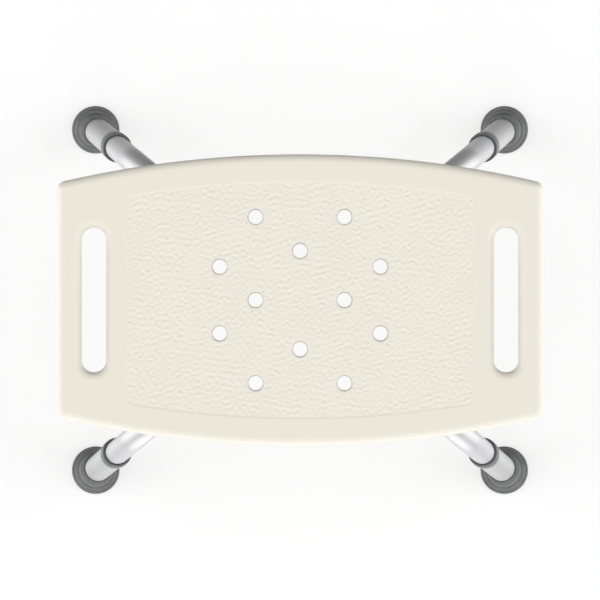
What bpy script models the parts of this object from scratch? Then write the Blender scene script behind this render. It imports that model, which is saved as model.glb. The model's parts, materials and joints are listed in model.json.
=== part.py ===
"""Shower stool: a hollow blow-moulded seat on two crossed aluminium tubes with four telescopic legs.

Units are metres. +Z is up, +X runs along the long side of the seat and -Y is its front.
The origin is on the floor under the middle of the seat, with every leg at its shortest setting.
"""

import math

import bmesh
import bpy
from mathutils import Matrix, Vector

# ----- Driving dimensions ------------------------------------------------------------------

GAP = 0.0003                      # left between pieces that touch

SEAT_TOP_HEIGHT = 0.405
SEAT_HALF_WIDTH = 0.2475
SEAT_HALF_DEPTH = 0.1482          # at the middle of the bowed long sides
SEAT_SIDE_RADIUS = 1.071          # of the bowed long sides
SEAT_CORNER_RADIUS = 0.0095
SEAT_THICKNESS = 0.025
SEAT_WALL = 0.003
SEAT_SIDE_WALL = 0.0045            # thicker behind the rounded edges
SEAT_EDGE_FILLET = 0.008

PANEL_INSET = 0.028               # from the long sides of the seat
PANEL_HALF_WIDTH = 0.177
PANEL_CORNER_RADIUS = 0.007
PANEL_RECESS = 0.0005

SLOT_X = 0.209                    # hand slots
SLOT_HALF_WIDTH = 0.0127
SLOT_HALF_LENGTH = 0.0738
SLOT_FILLET = 0.0075

DRAIN_RADIUS = 0.0081
DRAIN_FILLET = 0.0016
DRAIN_WALL = 0.0025

TACK_RADIUS = 0.0055              # conical tack-offs that tie the two skins together
TACK_TIP_RADIUS = 0.0035
TACK_DEPTH = 0.014
TACK_WALL = 0.0025

VENT_RADIUS = 0.004               # blow-pin hole in the lower skin
VENT_X = -0.075

TUBE_RADIUS = 0.0127              # bent frame tube, 25.4 mm outside
TUBE_WALL = 0.0012
BEND_RADIUS = 0.050
JOGGLE_RADIUS = 0.045             # where the lower tube ducks under the upper one
JOGGLE_FLAT = 0.008

LEG_AZIMUTH = math.radians(39.8)  # between a cross tube and the long side of the seat
LEG_TILT = math.radians(12.3)     # each leg leans out from the vertical
LEG_FLOOR_RADIUS = 0.2976         # where a leg's axis would meet the floor

LEG_TUBE_RADIUS = 0.0143          # telescopic leg tube, 28.6 mm outside
LEG_TUBE_WALL = 0.0011
LEG_TUBE_LENGTH = 0.1942
LEG_HOLE_PITCH = 0.020
LEG_HOLE_COUNT = 7
FRAME_TUBE_END = 0.0207           # from the foot of the leg tube up to the end of the frame tube
BUTTON_FROM_END = 0.020           # from the end of the frame tube up to its snap button

COLLAR_RADIUS = 0.0158
COLLAR_LENGTH = 0.020
COLLAR_LIP = 0.002

FOOT_RADIUS = 0.0264
FOOT_HEIGHT = 0.0338
FOOT_NECK_RADIUS = 0.0164
FOOT_BEND_HEIGHT = 0.016          # the foot turns from upright to the leg's lean below this
FOOT_BORE_FLOOR = 0.0122          # along the leg's axis, from the floor
FOOT_TREAD_RADIUS = 0.018
FOOT_TREAD_DEPTH = 0.0018
FOOT_WASHER_THICKNESS = 0.0015

BUTTON_RADIUS = 0.004
BUTTON_HOLE_RADIUS = 0.0043
BUTTON_TIP = 0.0170               # from the leg's axis
BUTTON_DOME = 0.0015
BUTTON_FLANGE_RADIUS = 0.0052
BUTTON_FLANGE_INSIDE = 0.0086
BUTTON_FLANGE_THICKNESS = 0.0010

SPRING_THICKNESS = 0.0005
SPRING_WIDTH = 0.007
SPRING_LENGTH = 0.042

PLUG_FLANGE_RADIUS = 0.0122
PLUG_FLANGE_THICKNESS = 0.0025
PLUG_SHANK_RADIUS = 0.0109
PLUG_SHANK_LENGTH = 0.010

SADDLE_RADIUS = 0.150             # from the middle of the stool along a cross tube
SADDLE_LENGTH = 0.040
SADDLE_WIDTH = 0.023
SADDLE_CROWN = 0.005              # height from the tube up to the seat
SADDLE_DROP = 0.004               # how far its lips stop above the tube's axis

SCREW_RADIUS = 0.0025
SCREW_HEAD_RADIUS = 0.0055
SCREW_HEAD_HEIGHT = 0.0032
SCREW_REACH = 0.0125              # above the seat's underside
INSERT_RADIUS = 0.0045
INSERT_LENGTH = 0.012
INSERT_BOSS_RADIUS = 0.009
INSERT_BORE_DEPTH = 0.0145

BOLT_RADIUS = 0.003
BOLT_HEAD_RADIUS = 0.007
BOLT_HEAD_HEIGHT = 0.0036
BOLT_END = 0.003                  # thread that shows below the nut
WASHER_RADIUS = 0.0085
WASHER_THICKNESS = 0.0015
NUT_ACROSS_CORNERS = 0.0115
NUT_HEIGHT = 0.005

TUBE_SIDES = 16
SLOT_SIDES = 16
FOOT_SIDES = 20
SMALL_SIDES = 10
FILLET_STEPS = 2
BEND_STEPS = 5
JOGGLE_STEPS = 3
OVERSHOOT = 0.001                 # how far a cutter runs past the face it opens

# ----- Dimensions that follow ---------------------------------------------------------------

SEAT_UNDERSIDE = SEAT_TOP_HEIGHT - SEAT_THICKNESS
FRAME_HEIGHT = SEAT_UNDERSIDE - SADDLE_CROWN - TUBE_RADIUS
JOGGLE_DROP = 2 * TUBE_RADIUS + GAP
JOGGLE_HEIGHT = FRAME_HEIGHT - JOGGLE_DROP

FOOT_WASHER_START = FOOT_BORE_FLOOR + GAP
LEG_TUBE_START = FOOT_WASHER_START + FOOT_WASHER_THICKNESS + GAP
LEG_TUBE_TOP = LEG_TUBE_START + LEG_TUBE_LENGTH
FRAME_TUBE_START = LEG_TUBE_START + FRAME_TUBE_END
BUTTON_HEIGHT = FRAME_TUBE_START + BUTTON_FROM_END

# Corners of the seat, as signs of x and y, and the upper tube's ends are the first two.
CORNERS = {
    "front_left": (-1, -1),
    "back_right": (1, 1),
    "front_right": (1, -1),
    "back_left": (-1, 1),
}
TUBE_AZIMUTH = {"upper": LEG_AZIMUTH, "lower": -LEG_AZIMUTH}

DRAIN_CENTRES = [(sx * 0.0452, sy * 0.0845) for sx in (-1, 1) for sy in (-1, 1)]
DRAIN_CENTRES += [(sx * 0.0818, sy * 0.0339) for sx in (-1, 1) for sy in (-1, 1)]
DRAIN_CENTRES += [(0.0, -0.050), (0.0, 0.050), (-0.0452, 0.0), (0.0452, 0.0)]

TACK_CENTRES = [(sx * 0.155, sy * 0.055) for sx in (-1, 1) for sy in (-1, 1)]
TACK_CENTRES += [(-0.130, 0.0), (0.130, 0.0), (0.0, -0.105), (0.0, 0.105)]


# ----- Scene and small helpers --------------------------------------------------------------

def clear_scene():
    for old_object in list(bpy.data.objects):
        bpy.data.objects.remove(old_object, do_unlink=True)


def new_collection(name):
    collection = bpy.data.collections.new(name)
    bpy.context.scene.collection.children.link(collection)
    return collection


def make_material(name, colour, roughness, metallic=0.0):
    material = bpy.data.materials.new(name)
    material.use_nodes = True
    shader = material.node_tree.nodes["Principled BSDF"]
    shader.inputs["Base Color"].default_value = (*colour, 1.0)
    shader.inputs["Roughness"].default_value = roughness
    shader.inputs["Metallic"].default_value = metallic
    return material


def add_object(name, mesh, collection, material=None, parent=None):
    new_object = bpy.data.objects.new(name, mesh)
    collection.objects.link(new_object)
    new_object.parent = parent
    if material is not None:
        mesh.materials.clear()
        mesh.materials.append(material)
    return new_object


def add_cutter(name, mesh, parent=None):
    cutter = add_object(name, mesh, CUTTERS, parent=parent)
    cutter.hide_render = True
    cutter.display_type = "WIRE"
    return cutter


def cut(target, cutter):
    boolean = target.modifiers.new("cut " + cutter.name, "BOOLEAN")
    boolean.operation = "DIFFERENCE"
    boolean.solver = "EXACT"
    boolean.object = cutter


def shade_round(mesh):
    mesh.shade_smooth()
    mesh.set_sharp_from_angle(angle=math.radians(35))


def taken_as_mesh(source):
    """The evaluated mesh of a temporary object, which is then removed."""
    bpy.context.view_layer.update()
    graph = bpy.context.evaluated_depsgraph_get()
    mesh = bpy.data.meshes.new_from_object(source.evaluated_get(graph))
    bpy.data.objects.remove(source, do_unlink=True)
    welded = bmesh.new()
    welded.from_mesh(mesh)
    bmesh.ops.remove_doubles(welded, verts=welded.verts, dist=1e-6)
    bmesh.ops.recalc_face_normals(welded, faces=welded.faces)
    welded.to_mesh(mesh)
    welded.free()
    mesh.materials.clear()
    return mesh


# ----- Shapes -------------------------------------------------------------------------------

def arc(centre, radius, start, end, steps):
    """Points along an arc, both ends included, angles in radians."""
    points = []
    for step in range(steps + 1):
        angle = start + (end - start) * step / steps
        points.append((centre[0] + radius * math.cos(angle), centre[1] + radius * math.sin(angle)))
    return points


def circle(radius, sides, centre=(0.0, 0.0)):
    turn = math.radians(180 / sides)
    return arc(centre, radius, turn, turn + math.tau * (sides - 1) / sides, sides - 1)


def stadium(half_width, half_length, sides, centre=(0.0, 0.0)):
    straight = half_length - half_width
    top = arc((centre[0], centre[1] + straight), half_width, 0, math.pi, sides // 2)
    bottom = arc((centre[0], centre[1] - straight), half_width, math.pi, math.tau, sides // 2)
    return top + bottom


def bowed_plan(half_width, half_depth, side_radius, corner_radius, side_steps, corner_steps):
    """A plan with straight ends in X, bowed long sides in Y and rounded corners."""
    side_centre = half_depth - side_radius
    reach = side_radius - corner_radius
    corner_x = half_width - corner_radius
    corner_y = side_centre + math.sqrt(reach ** 2 - corner_x ** 2)
    meeting = math.atan2(corner_y - side_centre, corner_x)
    quarter = arc((corner_x, corner_y), corner_radius, 0, meeting, corner_steps)
    quarter += arc((0.0, side_centre), side_radius, meeting, math.pi / 2, side_steps)[1:]
    back_left = [(-x, y) for x, y in reversed(quarter[:-1])]
    front_left = [(-x, -y) for x, y in quarter]
    front_right = [(x, -y) for x, y in reversed(quarter[:-1])]
    return quarter + back_left + front_left + front_right


def plate_mesh(outlines, low, high):
    """Flat outlines, the inner ones being holes, filled and made solid from low to high."""
    curve = bpy.data.curves.new("plate", "CURVE")
    curve.dimensions = "2D"
    curve.fill_mode = "BOTH"
    curve.extrude = (high - low) / 2
    for outline in outlines:
        spline = curve.splines.new("POLY")
        spline.points.add(len(outline) - 1)
        for point, (x, y) in zip(spline.points, outline):
            point.co = (x, y, 0.0, 1.0)
        spline.use_cyclic_u = True
    mesh = taken_as_mesh(add_object("plate", curve, CUTTERS))
    mesh.transform(Matrix.Translation((0, 0, (low + high) / 2)))
    return mesh


def turned_mesh(profile, sides, closed=False):
    """A (radius, height) profile, given down its outer side, turned about Z.

    A closed profile is a ring. An open one starts and ends on the axis.
    """
    mesh = bpy.data.meshes.new("turned")
    edges = [(i, i + 1) for i in range(len(profile) - 1)]
    if closed:
        edges.append((len(profile) - 1, 0))
    mesh.from_pydata([(radius, 0.0, height) for radius, height in profile], edges, [])
    turned = add_object("turned", mesh, CUTTERS)
    screw = turned.modifiers.new("turn", "SCREW")
    screw.steps = sides
    screw.render_steps = sides
    screw.use_merge_vertices = True
    screw.merge_threshold = 1e-5
    result = taken_as_mesh(turned)
    result.transform(Matrix.Rotation(math.radians(180 / sides), 4, "Z"))
    return result


def ring_mesh(outer, inner, low, high, sides):
    return turned_mesh([(outer, high), (outer, low), (inner, low), (inner, high)], sides, True)


def rod_mesh(radius, low, high, sides):
    return turned_mesh([(0.0, high), (radius, high), (radius, low), (0.0, low)], sides)


def joined_mesh(name, pieces):
    """Several (mesh, matrix) pieces in one mesh, for cutters that never touch each other."""
    gathered = bmesh.new()
    for mesh, matrix in pieces:
        placed = mesh.copy()
        placed.transform(matrix)
        gathered.from_mesh(placed)
    result = bpy.data.meshes.new(name)
    gathered.to_mesh(result)
    gathered.free()
    return result


def flared_hole_mesh(radius, fillet, bottom, top, sides):
    """A cutter for a round hole whose two rims are rounded over."""
    upper = arc((radius + fillet, top - fillet), fillet, math.pi / 2, math.pi, FILLET_STEPS)
    lower = arc((radius + fillet, bottom + fillet), fillet, math.pi, 3 * math.pi / 2, FILLET_STEPS)
    profile = [(0.0, top + OVERSHOOT), (radius + fillet, top + OVERSHOOT)]
    profile += upper + lower
    profile += [(radius + fillet, bottom - OVERSHOOT), (0.0, bottom - OVERSHOOT)]
    return turned_mesh(profile, sides)


def stretched(mesh, distance):
    """Pulls the two halves of a turned mesh apart in Y, which makes a round-ended slot."""
    for vertex in mesh.vertices:
        vertex.co.y += math.copysign(distance, vertex.co.y)
    return mesh


def pipe_mesh(path, radius):
    """The open skin of a tube along a path."""
    curve = bpy.data.curves.new("pipe", "CURVE")
    curve.dimensions = "3D"
    curve.bevel_depth = radius
    curve.bevel_resolution = (TUBE_SIDES - 4) // 2
    curve.use_fill_caps = False
    spline = curve.splines.new("POLY")
    spline.points.add(len(path) - 1)
    for point, place in zip(spline.points, path):
        point.co = (*place, 1.0)
    return taken_as_mesh(add_object("pipe", curve, CUTTERS))


# ----- Seat ---------------------------------------------------------------------------------

def seat_plan(inset):
    return bowed_plan(SEAT_HALF_WIDTH - inset, SEAT_HALF_DEPTH - inset, SEAT_SIDE_RADIUS - inset,
                      SEAT_CORNER_RADIUS - inset, side_steps=7, corner_steps=3)


def seat_cavity_mesh():
    """The hollow between the two skins, less the walls round the holes and the bosses."""
    outlines = [seat_plan(SEAT_SIDE_WALL)]
    for side in (-1, 1):
        outlines.append(stadium(SLOT_HALF_WIDTH + SEAT_SIDE_WALL, SLOT_HALF_LENGTH + SEAT_SIDE_WALL,
                                SMALL_SIDES, (side * SLOT_X, 0.0)))
    for centre in DRAIN_CENTRES:
        outlines.append(circle(DRAIN_RADIUS + DRAIN_WALL, SMALL_SIDES, centre))
    for centre in TACK_CENTRES:
        outlines.append(circle(TACK_RADIUS + TACK_WALL, SMALL_SIDES, centre))
    for corner in CORNERS:
        outlines.append(circle(INSERT_BOSS_RADIUS, SMALL_SIDES, saddle_place(corner)))
    return plate_mesh(outlines, SEAT_UNDERSIDE + SEAT_WALL, SEAT_TOP_HEIGHT - SEAT_WALL)


def saddle_place(corner):
    sign_x, sign_y = CORNERS[corner]
    return (sign_x * SADDLE_RADIUS * math.cos(LEG_AZIMUTH),
            sign_y * SADDLE_RADIUS * math.sin(LEG_AZIMUTH))


def panel_cutter_mesh():
    plan = bowed_plan(PANEL_HALF_WIDTH, SEAT_HALF_DEPTH - PANEL_INSET, SEAT_SIDE_RADIUS - PANEL_INSET,
                      PANEL_CORNER_RADIUS, side_steps=6, corner_steps=2)
    return plate_mesh([plan], SEAT_TOP_HEIGHT - PANEL_RECESS, SEAT_TOP_HEIGHT + OVERSHOOT)


def seat_holes_mesh():
    """Every hole in the seat that opens to the outside, as one cutter of separate bodies."""
    drain = flared_hole_mesh(DRAIN_RADIUS, DRAIN_FILLET, SEAT_UNDERSIDE,
                             SEAT_TOP_HEIGHT - PANEL_RECESS, SMALL_SIDES + 2)
    slot = stretched(flared_hole_mesh(SLOT_HALF_WIDTH, SLOT_FILLET, SEAT_UNDERSIDE,
                                      SEAT_TOP_HEIGHT, SLOT_SIDES),
                     SLOT_HALF_LENGTH - SLOT_HALF_WIDTH)
    below = SEAT_UNDERSIDE - OVERSHOOT
    tack = turned_mesh([(0.0, SEAT_UNDERSIDE + TACK_DEPTH), (TACK_TIP_RADIUS, SEAT_UNDERSIDE + TACK_DEPTH),
                        (TACK_RADIUS, below), (0.0, below)], SMALL_SIDES)
    bore = rod_mesh(INSERT_RADIUS + GAP, below, SEAT_UNDERSIDE + INSERT_BORE_DEPTH, SMALL_SIDES)
    vent = rod_mesh(VENT_RADIUS, below, SEAT_UNDERSIDE + 2 * SEAT_WALL, SMALL_SIDES)
    pieces = [(slot, Matrix.Translation((side * SLOT_X, 0, 0))) for side in (-1, 1)]
    pieces += [(drain, Matrix.Translation((x, y, 0))) for x, y in DRAIN_CENTRES]
    pieces += [(tack, Matrix.Translation((x, y, 0))) for x, y in TACK_CENTRES]
    pieces += [(bore, Matrix.Translation((*saddle_place(corner), 0))) for corner in CORNERS]
    pieces.append((vent, Matrix.Translation((VENT_X, 0, 0))))
    return joined_mesh("seat_holes", pieces)


def build_seat():
    block = plate_mesh([seat_plan(0.0)], SEAT_UNDERSIDE, SEAT_TOP_HEIGHT)
    shade_round(block)
    seat = add_object("seat", block, PARTS, SEAT_PLASTIC)
    bevel = seat.modifiers.new("round edges", "BEVEL")
    bevel.width = SEAT_EDGE_FILLET
    bevel.segments = FILLET_STEPS
    bevel.limit_method = "ANGLE"
    bevel.angle_limit = math.radians(60)
    cut(seat, add_cutter("seat_cavity", seat_cavity_mesh()))
    cut(seat, add_cutter("panel_recess", panel_cutter_mesh()))
    cut(seat, add_cutter("seat_holes", seat_holes_mesh()))


# ----- Frame --------------------------------------------------------------------------------

def half_tube_path(ducks_under):
    """Half of a cross tube, from the middle out to the end inside a leg, as (x, z) points."""
    if ducks_under:
        swing = math.acos(1 - JOGGLE_DROP / (2 * JOGGLE_RADIUS))
        first = arc((JOGGLE_FLAT, JOGGLE_HEIGHT + JOGGLE_RADIUS), JOGGLE_RADIUS,
                    -math.pi / 2, -math.pi / 2 + swing, JOGGLE_STEPS)
        joggle_length = 2 * JOGGLE_RADIUS * math.sin(swing)
        second = arc((JOGGLE_FLAT + joggle_length, FRAME_HEIGHT - JOGGLE_RADIUS), JOGGLE_RADIUS,
                     math.pi / 2 + swing, math.pi / 2, JOGGLE_STEPS)
        path = first + second[1:]
    else:
        path = []
    corner_x = LEG_FLOOR_RADIUS - FRAME_HEIGHT * math.tan(LEG_TILT)
    setback = BEND_RADIUS * math.tan((math.pi / 2 - LEG_TILT) / 2)
    path += arc((corner_x - setback, FRAME_HEIGHT - BEND_RADIUS), BEND_RADIUS,
                math.pi / 2, LEG_TILT, BEND_STEPS)
    path.append((LEG_FLOOR_RADIUS - FRAME_TUBE_START * math.sin(LEG_TILT),
                 FRAME_TUBE_START * math.cos(LEG_TILT)))
    return path


def button_hole_matrix(side):
    """Places a rod that lies along Z so that it runs from a leg's axis towards the stool's middle."""
    lean = Matrix.Rotation(-side * LEG_TILT, 4, "Y")
    on_axis = Matrix.Translation((side * LEG_FLOOR_RADIUS, 0, 0)) @ lean
    return on_axis @ Matrix.Translation((0, 0, BUTTON_HEIGHT)) @ Matrix.Rotation(-side * math.pi / 2, 4, "Y")


def build_cross_tube(level):
    half = half_tube_path(ducks_under=level == "lower")
    path = [(-x, 0.0, z) for x, z in reversed(half)] + [(x, 0.0, z) for x, z in half]
    skin = pipe_mesh(path, TUBE_RADIUS)
    shade_round(skin)
    tube = add_object("cross_tube_" + level, skin, PARTS, ALUMINIUM)
    tube.rotation_euler = (0.0, 0.0, TUBE_AZIMUTH[level])
    wall = tube.modifiers.new("wall", "SOLIDIFY")
    wall.thickness = TUBE_WALL
    wall.offset = -1.0
    wall.use_even_offset = True

    upright = rod_mesh(SCREW_RADIUS + GAP, FRAME_HEIGHT - 2 * TUBE_RADIUS,
                       FRAME_HEIGHT + 2 * TUBE_RADIUS, SMALL_SIDES)
    middle = rod_mesh(BOLT_RADIUS + GAP, JOGGLE_HEIGHT - 2 * TUBE_RADIUS,
                      FRAME_HEIGHT + 2 * TUBE_RADIUS, SMALL_SIDES)
    across = rod_mesh(BUTTON_HOLE_RADIUS, TUBE_RADIUS / 2, 2 * TUBE_RADIUS, SMALL_SIDES)
    pieces = [(middle, Matrix.Identity(4))]
    for side in (-1, 1):
        pieces.append((upright, Matrix.Translation((side * SADDLE_RADIUS, 0, 0))))
        pieces.append((across, button_hole_matrix(side)))
    holes = add_cutter("holes_in_tube_" + level, joined_mesh("tube_holes", pieces))
    holes.rotation_euler = tube.rotation_euler
    cut(tube, holes)


def build_centre_fastener():
    head_low = FRAME_HEIGHT + TUBE_RADIUS + GAP
    washer_top = JOGGLE_HEIGHT - TUBE_RADIUS - GAP
    nut_top = washer_top - WASHER_THICKNESS - GAP
    bolt_end = nut_top - NUT_HEIGHT - BOLT_END

    dome = arc((0.0, head_low), 1.0, math.pi / 2, 0.0, 5)
    profile = [(x * BOLT_HEAD_RADIUS, head_low + (z - head_low) * BOLT_HEAD_HEIGHT) for x, z in dome]
    profile += [(BOLT_RADIUS, head_low), (BOLT_RADIUS, bolt_end), (0.0, bolt_end)]
    bolt = turned_mesh(profile, SMALL_SIDES)
    shade_round(bolt)
    add_object("centre_bolt", bolt, PARTS, STEEL)

    washer = ring_mesh(WASHER_RADIUS, BOLT_RADIUS + GAP, washer_top - WASHER_THICKNESS, washer_top,
                       SMALL_SIDES)
    add_object("centre_washer", washer, PARTS, STEEL)

    nut = plate_mesh([circle(NUT_ACROSS_CORNERS / 2, 6), circle(BOLT_RADIUS + GAP, SMALL_SIDES)],
                     nut_top - NUT_HEIGHT, nut_top)
    add_object("centre_nut", nut, PARTS, STEEL)


def build_saddle(corner):
    """A moulded cradle between a cross tube and the seat, with the screw and insert that hold it."""
    sign_x, sign_y = CORNERS[corner]
    mount = bpy.data.objects.new("saddle_place_" + corner, None)
    PARTS.objects.link(mount)
    mount.location = (*saddle_place(corner), 0.0)
    mount.rotation_euler = (0.0, 0.0, math.atan2(sign_y * math.sin(LEG_AZIMUTH),
                                                 sign_x * math.cos(LEG_AZIMUTH)))

    low = FRAME_HEIGHT + SADDLE_DROP
    high = SEAT_UNDERSIDE - GAP
    block = bmesh.new()
    bmesh.ops.create_cube(block, size=1.0)
    bmesh.ops.scale(block, vec=(SADDLE_LENGTH, SADDLE_WIDTH, high - low), verts=block.verts)
    bmesh.ops.translate(block, vec=(0, 0, (low + high) / 2), verts=block.verts)
    mesh = bpy.data.meshes.new("saddle")
    block.to_mesh(mesh)
    block.free()
    saddle = add_object("saddle_" + corner, mesh, PARTS, GREY_PLASTIC, mount)
    bevel = saddle.modifiers.new("soft corners", "BEVEL")
    bevel.width = 0.0015
    bevel.segments = 2

    bed = rod_mesh(TUBE_RADIUS + 0.0005, -SADDLE_LENGTH, SADDLE_LENGTH, TUBE_SIDES)
    bed.transform(Matrix.Translation((0, 0, FRAME_HEIGHT)) @ Matrix.Rotation(math.pi / 2, 4, "Y"))
    screw_hole = rod_mesh(SCREW_RADIUS + GAP, low, high + OVERSHOOT, SMALL_SIDES)
    cut(saddle, add_cutter("tube_bed_" + corner, bed, mount))
    cut(saddle, add_cutter("saddle_hole_" + corner, screw_hole, mount))

    head_top = FRAME_HEIGHT - TUBE_RADIUS - GAP
    tip = SEAT_UNDERSIDE + SCREW_REACH
    profile = [(0.0, tip), (SCREW_RADIUS * 0.6, tip), (SCREW_RADIUS, tip - 0.0015), (SCREW_RADIUS, head_top),
               (SCREW_HEAD_RADIUS, head_top), (SCREW_HEAD_RADIUS, head_top - SCREW_HEAD_HEIGHT * 0.4),
               (SCREW_HEAD_RADIUS * 0.7, head_top - SCREW_HEAD_HEIGHT), (0.0, head_top - SCREW_HEAD_HEIGHT)]
    screw = turned_mesh(profile, SMALL_SIDES)
    shade_round(screw)
    add_object("seat_screw_" + corner, screw, PARTS, STEEL, mount)

    insert = ring_mesh(INSERT_RADIUS, SCREW_RADIUS + GAP, SEAT_UNDERSIDE + GAP,
                       SEAT_UNDERSIDE + INSERT_LENGTH, SMALL_SIDES)
    add_object("seat_insert_" + corner, insert, PARTS, BRASS, mount)


# ----- Legs ---------------------------------------------------------------------------------

def leg_axis(corner):
    """An empty whose Z runs up the leg, with X pointing outwards, where the axis meets the floor."""
    sign_x, sign_y = CORNERS[corner]
    azimuth = math.atan2(sign_y * math.sin(LEG_AZIMUTH), sign_x * math.cos(LEG_AZIMUTH))
    axis = bpy.data.objects.new("leg_axis_" + corner, None)
    PARTS.objects.link(axis)
    axis.location = (LEG_FLOOR_RADIUS * math.cos(azimuth), LEG_FLOOR_RADIUS * math.sin(azimuth), 0.0)
    axis.rotation_euler = (0.0, -LEG_TILT, azimuth)
    return axis


def build_leg_tube(corner, axis):
    tube_mesh = ring_mesh(LEG_TUBE_RADIUS, LEG_TUBE_RADIUS - LEG_TUBE_WALL, LEG_TUBE_START,
                          LEG_TUBE_TOP, TUBE_SIDES)
    shade_round(tube_mesh)
    tube = add_object("leg_tube_" + corner, tube_mesh, PARTS, ALUMINIUM, axis)
    across = rod_mesh(BUTTON_HOLE_RADIUS, LEG_TUBE_RADIUS / 2, 2 * LEG_TUBE_RADIUS, SMALL_SIDES)
    inward = Matrix.Rotation(-math.pi / 2, 4, "Y")
    pieces = [(across, Matrix.Translation((0, 0, BUTTON_HEIGHT + number * LEG_HOLE_PITCH)) @ inward)
              for number in range(LEG_HOLE_COUNT)]
    cut(tube, add_cutter("leg_holes_" + corner, joined_mesh("leg_holes", pieces), axis))


def build_collar(corner, axis):
    """A moulded ring over the end of the leg tube, whose lip guides the frame tube."""
    top = LEG_TUBE_TOP + GAP + COLLAR_LIP
    bottom = top - COLLAR_LENGTH
    over_tube = LEG_TUBE_RADIUS + GAP
    guide = TUBE_RADIUS + 0.0005
    profile = [(COLLAR_RADIUS - 0.0008, top), (COLLAR_RADIUS, top - 0.0008), (COLLAR_RADIUS, bottom),
               (over_tube, bottom), (over_tube, LEG_TUBE_TOP + GAP), (guide, LEG_TUBE_TOP + GAP),
               (guide, top)]
    collar = turned_mesh(profile, TUBE_SIDES, closed=True)
    shade_round(collar)
    add_object("leg_collar_" + corner, collar, PARTS, GREY_PLASTIC, axis)


def leaned(point):
    """Bends an upright foot over, so that its neck lines up with the leg."""
    height = max(0.0, min(point.z, FOOT_BEND_HEIGHT))
    angle = LEG_TILT * height / FOOT_BEND_HEIGHT
    spine_radius = FOOT_BEND_HEIGHT / LEG_TILT
    spine = Vector((-spine_radius * (1 - math.cos(angle)), 0.0, spine_radius * math.sin(angle)))
    above = point.z - height
    along = Vector((-math.sin(angle), 0.0, math.cos(angle)))
    outward = Vector((math.cos(angle), 0.0, math.sin(angle)))
    return spine + along * above + outward * point.x + Vector((0.0, point.y, 0.0))


def foot_base_offset():
    """How far inside the leg axis' floor point the middle of the upright base lies."""
    spine_radius = FOOT_BEND_HEIGHT / LEG_TILT
    return spine_radius * (math.sin(LEG_TILT) * math.tan(LEG_TILT) - (1 - math.cos(LEG_TILT)))


def foot_mesh():
    """A rubber foot with a bell-shaped skirt and a shallow tread, in upright coordinates."""
    skirt_height = FOOT_HEIGHT - 0.0063
    skirt = []
    for step in range(6):
        share = step / 5
        skirt.append((FOOT_NECK_RADIUS + (FOOT_RADIUS - 0.0010 - FOOT_NECK_RADIUS) * share ** 2.4,
                      FOOT_HEIGHT - 0.0008 - (skirt_height - 0.0008) * share))
    profile = [(0.0, FOOT_HEIGHT), (FOOT_NECK_RADIUS - 0.0006, FOOT_HEIGHT)] + skirt
    profile += [(FOOT_RADIUS, 0.0052), (FOOT_RADIUS, 0.0012), (FOOT_RADIUS - 0.0012, 0.0),
                (FOOT_TREAD_RADIUS, 0.0), (FOOT_TREAD_RADIUS - 0.001, FOOT_TREAD_DEPTH),
                (0.0, FOOT_TREAD_DEPTH)]
    mesh = turned_mesh(profile, FOOT_SIDES)
    for vertex in mesh.vertices:
        vertex.co = leaned(vertex.co)
    return mesh


def build_foot(corner, axis):
    upright = Matrix.Rotation(LEG_TILT, 4, "Y") @ Matrix.Translation((-foot_base_offset(), 0, 0))
    mesh = foot_mesh()
    mesh.transform(upright)
    shade_round(mesh)
    foot = add_object("foot_" + corner, mesh, PARTS, RUBBER, axis)
    bore = rod_mesh(LEG_TUBE_RADIUS + GAP, FOOT_BORE_FLOOR, 2 * FOOT_HEIGHT, TUBE_SIDES)
    cut(foot, add_cutter("foot_bore_" + corner, bore, axis))

    washer = rod_mesh(LEG_TUBE_RADIUS - GAP, FOOT_WASHER_START, FOOT_WASHER_START + FOOT_WASHER_THICKNESS,
                      TUBE_SIDES)
    add_object("foot_washer_" + corner, washer, PARTS, STEEL, axis)


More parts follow.
